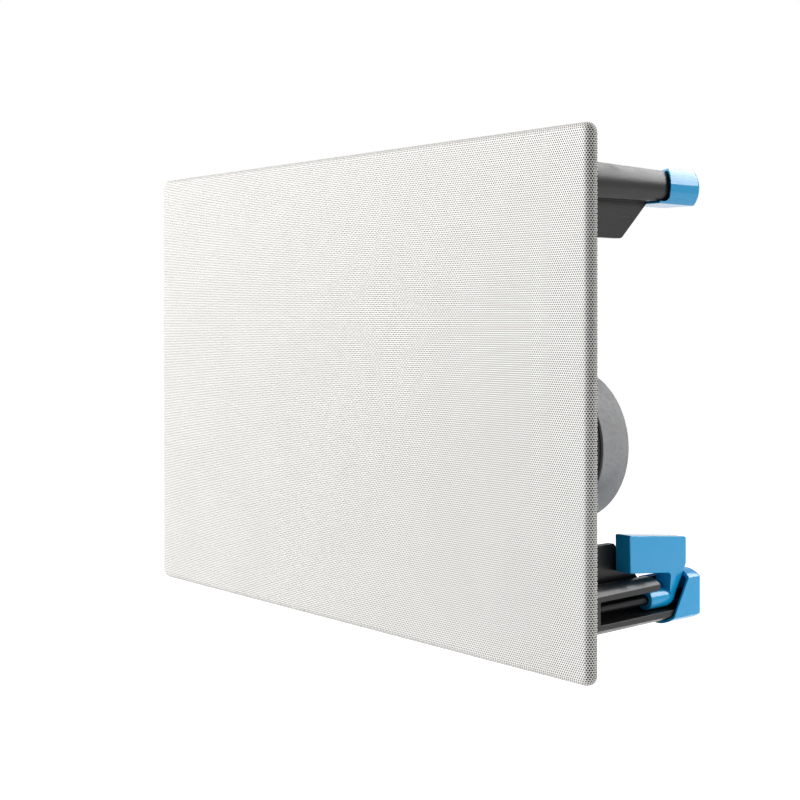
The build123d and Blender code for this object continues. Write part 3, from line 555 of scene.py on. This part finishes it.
def model_grille(sizes):
    """A tray with rounded corners and a bent edge, open at the back."""
    low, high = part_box("grille")
    start()
    bpy.ops.mesh.primitive_cube_add(size=1, location=(low + high) / 2, scale=high - low)
    obj = added("grille_sheet")
    pick(obj, "FACE", lambda centre, normal: normal.y > 0.9)
    bpy.ops.mesh.delete(type="FACE")
    pick(obj, "EDGE", lambda a, b: abs(a.y - b.y) > touching)
    bpy.ops.mesh.bevel(offset=sizes.corner, segments=10, affect="EDGES")
    pick(obj, "EDGE", lambda a, b: max(a.y, b.y) < low.y + touching)
    bpy.ops.mesh.bevel(offset=sizes.bend, segments=12, affect="EDGES")
    bpy.ops.object.mode_set(mode="OBJECT")
    layer = obj.data.uv_layers.active
    for loop in obj.data.loops:
        layer.data[loop.index].uv = developed(obj.data.vertices[loop.vertex_index].co, low.y, sizes)
    apply_modifier(obj, "SOLIDIFY", thickness=sizes.sheet, offset=-1.0, use_even_offset=True)
    smooth(obj)
    return obj


def perforated_paint(finish, sizes):
    """White paint on steel, with staggered rows of round holes, whose colour is painted shade of what lies
    behind them.
    """
    work = Nodes("grille_paint")
    uv = work.coords.outputs["UV"]
    cell = (sizes.pitch, 2 * sizes.row, 1.0)
    grid = work.vector("DIVIDE", uv, cell)
    reach = []
    for shift in (0.5, 0.0):
        part = work.vector("FRACTION", work.vector("ADD", grid, (shift, shift, 0.0)))
        part = work.vector("MULTIPLY", work.vector("SUBTRACT", part, (0.5, 0.5, 0.0)), cell)
        part = work.vector("MULTIPLY", part, (1.0, 1.0, 0.0))
        reach.append(work.vector("LENGTH", part))
    nearest = work.math("MINIMUM", *reach)
    half_x, _, _ = grille_spans(sizes)
    split = work.add("ShaderNodeSeparateXYZ")
    work.link(uv, split.inputs["Vector"])
    past = work.math("SUBTRACT", work.math("ABSOLUTE", split.outputs["X"]), half_x)
    dark_from, dark_full = 0.2 * sizes.bend, 0.45 * sizes.bend
    side = work.span(past, 0.0, 1.0, dark_from, dark_full)
    edge_in, edge_out = 0.86 * sizes.hole / 2, 1.1 * sizes.hole / 2
    nearest = work.math("MULTIPLY", nearest, work.span(side, 1.0, sizes.hole / sizes.open_hole))
    hole = work.span(nearest, 1.0, 0.0, edge_in, edge_out)
    clouds = work.noise(35.0, detail=2.0)
    grain = work.noise(1600.0)
    paint = work.mix(work.span(clouds, 0.0, 1.0, 0.3, 0.7), shade(finish.paint, 0.97), finish.paint)
    # Painted shade: the holes take the grey of the front holes and, in the bend, the near-black of the side
    # holes.
    inside = work.mix(side, finish.painted_front_hole_shade, finish.painted_side_hole_shade)
    colour = work.mix(hole, paint, inside)
    sunk = work.bump(work.math("SUBTRACT", 1.0, hole), depth=0.00025, strength=0.6)
    return work.set(
        Base_Color=colour,
        Roughness=work.span(hole, 0.5, 0.9),
        Normal=work.bump(grain, depth=0.00002, under=sunk),
    )


class SPEAKER_OT_grille(Operator):
    """Models the bent and perforated grille, with its holes and the painted shade in them as part of the
    paint
    """

    bl_idname = "speaker.grille"
    bl_label = "Grille"

    def execute(self, context):
        sizes, finish = context.scene.speaker_grille, context.scene.speaker_finish
        place(model_grille(sizes), "grille", perforated_paint(finish, sizes))
        return {"FINISHED"}


class SPEAKER_OT_scrim(Operator):
    """Models the cloth that is stretched behind the grille"""

    bl_idname = "speaker.scrim"
    bl_label = "Scrim"

    def execute(self, context):
        sizes, finish = context.scene.speaker_grille, context.scene.speaker_finish
        low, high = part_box("grille_scrim")
        width, height = high.x - low.x, high.z - low.z
        start()
        bpy.ops.mesh.primitive_grid_add(
            x_subdivisions=60,
            y_subdivisions=42,
            size=1,
            location=(low + high) / 2,
            rotation=(math.pi / 2, 0, 0),
        )
        bpy.ops.transform.resize(value=(width, 1, height))
        obj = added("scrim_cloth")
        apply_modifier(obj, "SOLIDIFY", thickness=sizes.scrim, offset=0.0)
        place(obj, "grille_scrim", woven("scrim_cloth", finish.cloth, 0.0006))
        return {"FINISHED"}


# Frame and clamps


class SPEAKER_OT_frame(Operator):
    """Gives the moulded frame its satin black and eased edges"""

    bl_idname = "speaker.frame"
    bl_label = "Frame"

    def execute(self, context):
        edges, finish = context.scene.speaker_edges, context.scene.speaker_finish
        plastic = moulded(
            "frame_plastic", finish.moulding, 0.33, grain=1100.0, spread=0.14, stretch=(1, 0.15, 1),
            edge=edges.moulding, Specular_IOR_Level=0.3,
        )
        dress(nodes["baffle_frame"], plastic)
        steel = metal("plated_steel", finish.steel, 0.3)
        for node in ["grille_magnets", "woofer_screws", "tweeter_screws", "board_screws"]:
            dress(nodes[node], steel)
        return {"FINISHED"}


class SPEAKER_OT_clamps(Operator):
    """Rounds the dog-leg clamps and their end caps and gives them their glossy blue"""

    bl_idname = "speaker.clamps"
    bl_label = "Clamps"

    def execute(self, context):
        edges, finish = context.scene.speaker_edges, context.scene.speaker_finish
        blue = moulded(
            "clamp_plastic", finish.clamp, 0.1, grain=500.0, depth=0.000006, spread=0.05,
            Specular_IOR_Level=0.36,
        )
        oxide = moulded(
            "clamp_screw_oxide", finish.oxide, 0.42, stretch=(1, 12, 1), Metallic=0.8
        )
        for corner in corner_names:
            node = "clamp_dogleg_" + corner
            place(softened(node, "dogleg_" + corner, edges.dogleg, 3), node, blue)
            node = "clamp_cap_" + corner
            place(softened(node, "cap_" + corner, edges.cap), node, blue)
            dress(nodes["clamp_screw_" + corner], oxide)
        return {"FINISHED"}


# Drivers


def model_surround(side, sizes, material):
    """Half roll of rubber with a flat lip on each side and two fine grooves along its crest."""
    node = "woofer_surround_" + side
    low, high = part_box(node)
    centre, rim = (low + high) / 2, (high.x - low.x) / 2
    level = high.y - sizes.rubber / 2
    lip = sizes.cone_lip - (rim - sizes.mouth)
    rise = level - low.y - sizes.rubber / 2
    steps, grooves = 24, (9, 15)
    roll = list(arch(sizes.cone_lip, sizes.mouth, level, rise, steps))
    for index in grooves:
        roll[index] = (roll[index][0], roll[index][1] + sizes.groove)
    profile = [(rim, level), *reversed(roll), (lip, level)]
    obj = turned_shell("surround_" + side, centre, profile, sizes.rubber, rings=128)
    stand_for(obj, node, material)
    follow_cone(obj, side, centre, sizes.cone_lip, sizes.mouth)


def model_spider(side, sizes, material):
    """Corrugated disc of varnished cloth with a flat rim on the basket's shelf."""
    node = "woofer_spider_" + side
    low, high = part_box(node)
    centre, rim = (low + high) / 2, (high.x - low.x) / 2
    coil_low, coil_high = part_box("woofer_voice_coil_" + side)
    level = high.y - sizes.spider / 2
    inner = (coil_high.x - coil_low.x) / 2 + sizes.spider / 2
    steps, waves = 96, 8
    profile = [(rim, level)]
    for index in range(steps + 1):
        share = index / steps
        wave = 0.5 - 0.5 * math.cos(2 * math.pi * waves * share)
        profile.append((sizes.shelf + (inner - sizes.shelf) * share, level - sizes.wave * wave))
    obj = turned_shell("spider_" + side, centre, profile, sizes.spider, rings=96)
    stand_for(obj, node, material)
    follow_cone(obj, side, centre, inner, sizes.shelf)


def model_dome(sizes, material):
    """Soft dome with its roll and the flat rim that is held behind the faceplate."""
    node = "tweeter_dome"
    low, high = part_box(node)
    centre, rim = (low + high) / 2, (high.x - low.x) / 2
    level = high.y - sizes.dome_wall / 2
    rise = level - low.y - sizes.dome_wall / 2
    outer = sizes.dome + sizes.roll
    profile = [(rim, level)]
    roll_rise, roll_steps = 0.55 * sizes.roll, 10
    profile += reversed(list(arch(sizes.dome, outer, level, roll_rise, roll_steps)))
    ball = (sizes.dome**2 + rise**2) / (2 * rise)
    reach = math.asin(sizes.dome / ball)
    steps = 16
    for index in range(1, steps):
        angle = reach * (1 - index / steps)
        profile.append((ball * math.sin(angle), level - rise + ball * (1 - math.cos(angle))))
    obj = turned_shell("soft_dome", centre, profile, sizes.dome_wall, rings=72, closed=True)
    place(obj, node, material)


class SPEAKER_OT_woofers(Operator):
    """Models the woofers' rubber surrounds and cloth spiders and finishes the rest"""

    bl_idname = "speaker.woofers"
    bl_label = "Woofers"

    def execute(self, context):
        edges, finish = context.scene.speaker_edges, context.scene.speaker_finish
        sizes = context.scene.speaker_drivers
        ferrite = ground_ferrite("ferrite", finish.ferrite)
        rubber = moulded("surround_rubber", finish.rubber, 0.6, grain=700.0, Sheen_Weight=0.15)
        varnished = woven("spider_cloth", finish.spider, 0.0008)
        looks = {
            "basket": moulded("basket_paint", finish.basket, 0.42, grain=1500.0),
            "top_plate": moulded("plate_steel", finish.plate, 0.45, Metallic=0.6),
            "yoke": moulded("yoke_steel", shade(finish.plate, 7.0), 0.42, Metallic=0.9),
            "voice_coil": wound("voice_coil", finish.copper, 0.0004),
            "cone": moulded("cone_plastic", finish.cone, 0.45, grain=300.0, depth=0.00006),
            "dust_cap": moulded("dust_cap_plastic", shade(finish.cone, 0.8), 0.38),
            "terminals": metal("lug_brass", finish.brass, 0.3),
        }
        for side in side_names:
            model_surround(side, sizes, rubber)
            model_spider(side, sizes, varnished)
            for part, look in looks.items():
                dress(nodes[f"woofer_{part}_{side}"], look)
            node = "woofer_magnet_" + side
            place(softened(node, "ring_magnet_" + side, edges.magnet), node, ferrite)
        return {"FINISHED"}


class SPEAKER_OT_tweeter(Operator):
    """Models the tweeter's soft dome and finishes the rest"""

    bl_idname = "speaker.tweeter"
    bl_label = "Tweeter"

    def execute(self, context):
        finish = context.scene.speaker_finish
        plastic = moulded("faceplate_plastic", finish.moulding, 0.4)
        plate = moulded("tweeter_steel", shade(finish.plate, 6.0), 0.42, Metallic=0.9)
        looks = {
            "faceplate": plastic,
            "rear_chamber": plastic,
            "voice_coil": wound("tweeter_coil", finish.copper, 0.0003),
            "top_plate": plate,
            "yoke": plate,
            "magnet": ground_ferrite("tweeter_ferrite", finish.ferrite),
            "terminals": metal("tweeter_brass", finish.brass, 0.3),
        }
        for part, look in looks.items():
            dress(nodes["tweeter_" + part], look)
        model_dome(context.scene.speaker_drivers, woven("dome_cloth", finish.dome, 0.0003, roughness=0.6))
        return {"FINISHED"}


def model_spring(colour, sheet, material):
    """One leaf spring of the push terminals, whose free end follows its button."""
    node, button = "terminal_springs", "terminal_button_" + colour
    low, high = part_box(node)
    middle, at = (low.x + high.x) / 2, sum(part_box(button), Vector()) / 2
    obj = copied(node, "spring_" + colour)
    pick(obj, "FACE", lambda centre, normal: (centre.x - middle) * (at.x - middle) < 0)
    bpy.ops.mesh.delete(type="FACE")
    smooth(obj)
    stand_for(obj, node, material)
    foot, tip = Vector((at.x, low.y + sheet, at.z)), Vector((at.x, high.y, at.z))
    height = tip.y - foot.y
    follow(obj, body_of(button), foot, tip, lambda spot: (spot.y - foot.y) / height)


class SPEAKER_OT_crossover(Operator):
    """Finishes the crossover board, the push terminals and the wires"""

    bl_idname = "speaker.crossover"
    bl_label = "Crossover and terminals"

    def execute(self, context):
        finish = context.scene.speaker_finish
        copper = wound("winding_copper", finish.copper, 0.0011)
        film = moulded("capacitor_film", finish.film, 0.3, grain=60.0, spread=0.2)
        looks = {
            "crossover_board": moulded("board_laminate", finish.board, 0.35, grain=240.0, spread=0.35),
            "inductor_large": copper,
            "inductor_small": copper,
            "capacitor_large": film,
            "capacitor_small": film,
            "resistor": moulded("resistor_ceramic", finish.ceramic, 0.8, grain=500.0, depth=0.0001),
            "terminal_block": moulded("terminal_plastic", finish.moulding, 0.4),
            "terminal_button_red": moulded("button_red", finish.red, 0.25, spread=0.06),
            "terminal_button_black": moulded("button_black", finish.black, 0.25),
            "wires_red": moulded("wire_red", finish.red, 0.4, spread=0.08),
            "wires_black": moulded("wire_black", finish.black, 0.4),
        }
        for node, look in looks.items():
            dress(nodes[node], look)
        sprung = metal("spring_steel", finish.steel, 0.22, stretch=(8, 1, 1))
        for colour in ("red", "black"):
            model_spring(colour, context.scene.speaker_drivers.leaf, sprung)
        return {"FINISHED"}


# Stage


def seen_rays(tree):
    """1 for rays from the camera and for those that metal and glass send on."""
    path = tree.nodes.new("ShaderNodeLightPath")
    total = path.outputs["Is Camera Ray"]
    for name in ("Is Glossy Ray", "Is Transmission Ray"):
        larger = tree.nodes.new("ShaderNodeMath")
        larger.operation = "MAXIMUM"
        tree.links.new(total, larger.inputs[0])
        tree.links.new(path.outputs[name], larger.inputs[1])
        total = larger.outputs[0]
    return total


def lay_floor(stage):
    """A pale floor that keeps the shadow and is seen as white."""
    start()
    bpy.ops.mesh.primitive_plane_add(size=2 * stage.reach, location=(0, 0, stage.floor))
    floor = added("floor")
    work = Nodes("floor_paper")
    tree = work.tree
    work.set(Base_Color=(*stage.paper, 1.0), Roughness=0.9)
    glow = work.add("ShaderNodeEmission")
    work.link(work.math("MULTIPLY", seen_rays(tree), stage.glow), glow.inputs["Strength"])
    both = work.add("ShaderNodeAddShader")
    work.link(work.shader.outputs[0], both.inputs[0])
    work.link(glow.outputs[0], both.inputs[1])
    work.link(both.outputs[0], tree.nodes["Material Output"].inputs["Surface"])
    dress(floor, work.material)


def light_world(scene, ambient):
    """Soft light from all round, seen as white."""
    world = bpy.data.worlds.new("studio")
    scene.world = world
    world.use_nodes = True
    tree = world.node_tree
    soft = tree.nodes["Background"]
    soft.inputs["Color"].default_value = (1.0, 1.0, 1.0, 1.0)
    soft.inputs["Strength"].default_value = ambient
    white = tree.nodes.new("ShaderNodeBackground")
    white.inputs["Color"].default_value = (1.0, 1.0, 1.0, 1.0)
    white.inputs["Strength"].default_value = 1.0
    mix = tree.nodes.new("ShaderNodeMixShader")
    tree.links.new(seen_rays(tree), mix.inputs[0])
    tree.links.new(soft.outputs[0], mix.inputs[1])
    tree.links.new(white.outputs[0], mix.inputs[2])
    tree.links.new(mix.outputs[0], tree.nodes["World Output"].inputs["Surface"])


def hang_lamp(name, at, target, width, long, watts, along=(0, 0, 1)):
    """A soft oblong lamp that faces a point, with its long side towards a direction."""
    lamp = bpy.data.lights.new(name, "AREA")
    lamp.shape = "RECTANGLE"
    lamp.size, lamp.size_y = width, long
    lamp.energy = watts
    obj = bpy.data.objects.new(name, lamp)
    bpy.context.scene.collection.objects.link(obj)
    obj.visible_camera = False
    obj.location = at
    back = (Vector(at) - Vector(target)).normalized()
    side = Vector(along).cross(back).normalized()
    obj.rotation_euler = Matrix((side, back.cross(side), back)).transposed().to_euler()


def set_camera(scene):
    """The photograph's own view, fitted to the panel's edges."""
    camera = bpy.data.cameras.new("camera")
    obj = bpy.data.objects.new("camera", camera)
    scene.collection.objects.link(obj)
    obj.location = (0.51652, -0.40741, 0.03224)
    obj.rotation_euler = (math.pi / 2, 0.0, math.radians(49.5074))
    camera.sensor_width = 36.0
    camera.lens = 63.684
    camera.shift_y = -0.1005
    camera.clip_start = 0.01
    scene.camera = obj


class SPEAKER_OT_stage(Operator):
    """Sets the floor, the lamps and the camera"""

    bl_idname = "speaker.stage"
    bl_label = "Stage"

    def execute(self, context):
        scene, stage = context.scene, context.scene.speaker_stage
        lay_floor(stage)
        light_world(scene, stage.ambient)
        hang_lamp(
            "key_lamp", at=(-0.95, -1.4, 0.75), target=(0.0, 0.0, 0.0),
            width=1.0, long=1.0, watts=stage.key_watts,
        )
        hang_lamp(
            "strip_lamp", at=(0.58, 1.15, 0.85), target=(0.13, 0.07, 0.09),
            width=0.5, long=1.4, watts=stage.strip_watts, along=(-0.88, 0.0, 0.48),
        )
        hang_lamp(
            "low_lamp", at=(0.40, 0.10, -0.21), target=(0.15, 0.03, -0.09),
            width=0.25, long=0.25, watts=stage.low_watts,
        )
        set_camera(scene)
        scene.view_settings.view_transform = "Standard"
        return {"FINISHED"}


# Add-on

operators = (
    SPEAKER_OT_grille,
    SPEAKER_OT_scrim,
    SPEAKER_OT_frame,
    SPEAKER_OT_clamps,
    SPEAKER_OT_woofers,
    SPEAKER_OT_tweeter,
    SPEAKER_OT_crossover,
    SPEAKER_OT_stage,
)
groups = {
    "speaker_grille": GrilleSizes,
    "speaker_drivers": DriverSizes,
    "speaker_edges": EdgeSizes,
    "speaker_finish": Finishes,
    "speaker_stage": StageSizes,
}


class SPEAKER_PT_pieces(Panel):
    """The speaker's pieces, sizes and colours"""

    bl_label = "Speaker"
    bl_space_type = "VIEW_3D"
    bl_region_type = "UI"
    bl_category = "Speaker"

    def draw(self, context):
        for operator in operators:
            self.layout.operator(operator.bl_idname)
        for name in groups:
            group = getattr(context.scene, name)
            for key in group.bl_rna.properties.keys():
                if key not in ("rna_type", "name"):
                    self.layout.prop(group, key)


def register():
    for name, group in groups.items():
        bpy.utils.register_class(group)
        setattr(bpy.types.Scene, name, PointerProperty(type=group))
    for item in (*operators, SPEAKER_PT_pieces):
        bpy.utils.register_class(item)


def unregister():
    for item in (SPEAKER_PT_pieces, *reversed(operators)):
        bpy.utils.unregister_class(item)
    for name, group in groups.items():
        delattr(bpy.types.Scene, name)
        bpy.utils.unregister_class(group)


def main():
    register()
    for operator in operators:
        family, name = operator.bl_idname.split(".")
        getattr(getattr(bpy.ops, family), name)()


if __name__ == "__main__":
    main()
